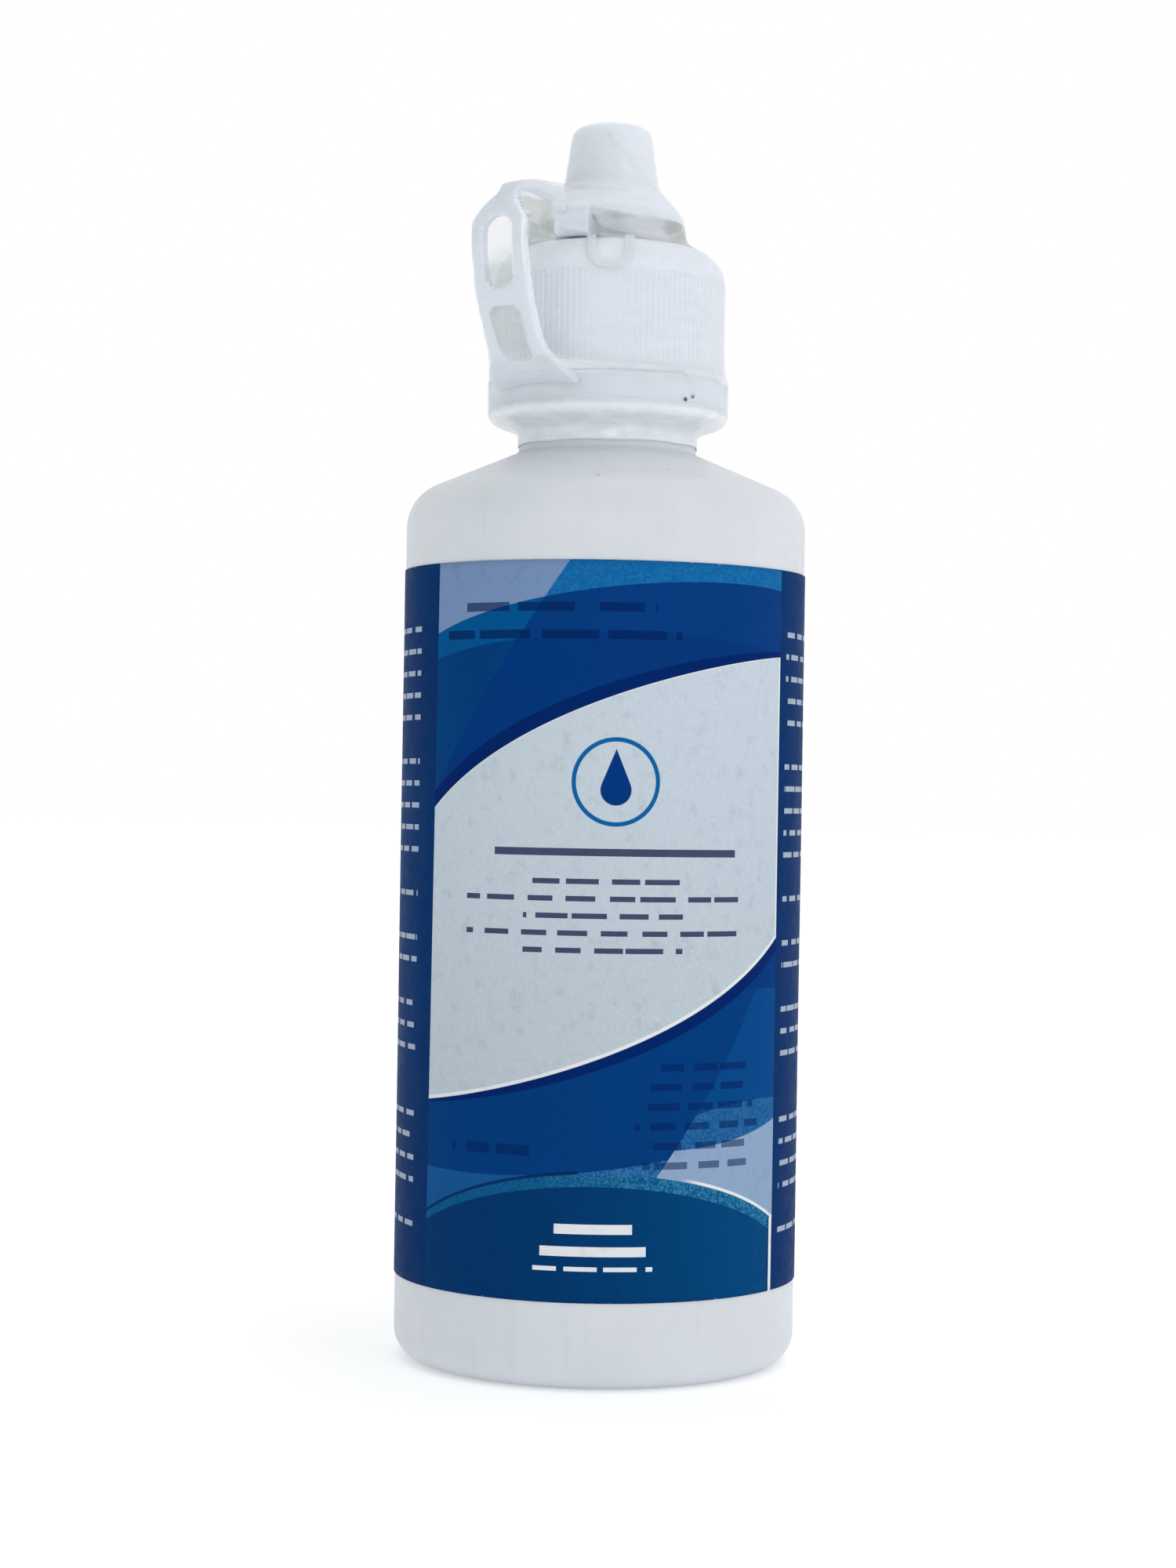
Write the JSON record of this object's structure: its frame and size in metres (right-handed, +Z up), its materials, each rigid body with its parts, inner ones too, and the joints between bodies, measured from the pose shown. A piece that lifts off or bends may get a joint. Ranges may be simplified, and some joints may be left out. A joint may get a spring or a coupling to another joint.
{
  "type": "contact lens solution bottle",
  "caption": "Squeezable lens care solution bottle with wrap label, dropper tip, tethered ribbed screw cap and clear tamper film.",
  "frame": {"origin": "centre of the foot's underside, on the bottle's axis", "axes": "+Z up along the bottle's axis; the label's front faces -Y; +X to the right of someone facing the label"},
  "size_m": [0.0478, 0.0478, 0.1468],
  "materials": {
    "white_bottle": "satin blow-moulded polyethylene",
    "printed_label": "glossy printed plastic film",
    "natural_tip": "soft natural polyethylene",
    "white_cap": "satin moulded polypropylene",
    "white_tether": "satin moulded polypropylene",
    "clear_film": "clear glossy shrink film"
  },
  "bodies": {
    "bottle": {"bottle": "white_bottle", "wrap_label": "printed_label", "dropper_tip": "natural_tip", "neck_collar": "white_tether", "strap": "white_tether", "shrink_film": "clear_film"},
    "swivel_ring": {"swivel_ring": "white_tether"},
    "cap": {"cap": "white_cap"}
  },
  "joints": [
    {"name": "cap_lift", "type": "slide", "parent": "bottle", "child": "swivel_ring", "axis": [0, 0, 1], "range_m": [0, 0.0048], "deforming": ["strap", "shrink_film"]},
    {"name": "cap_turn", "type": "hinge", "parent": "swivel_ring", "child": "cap", "pos_m": [0, 0, 0.12], "axis": [0, 0, 1], "range_deg": [0, 540]}
  ],
  "couplings": [
    {"joint": "cap_lift", "follows": "cap_turn", "m_per_rad": 0.00050532}
  ]
}
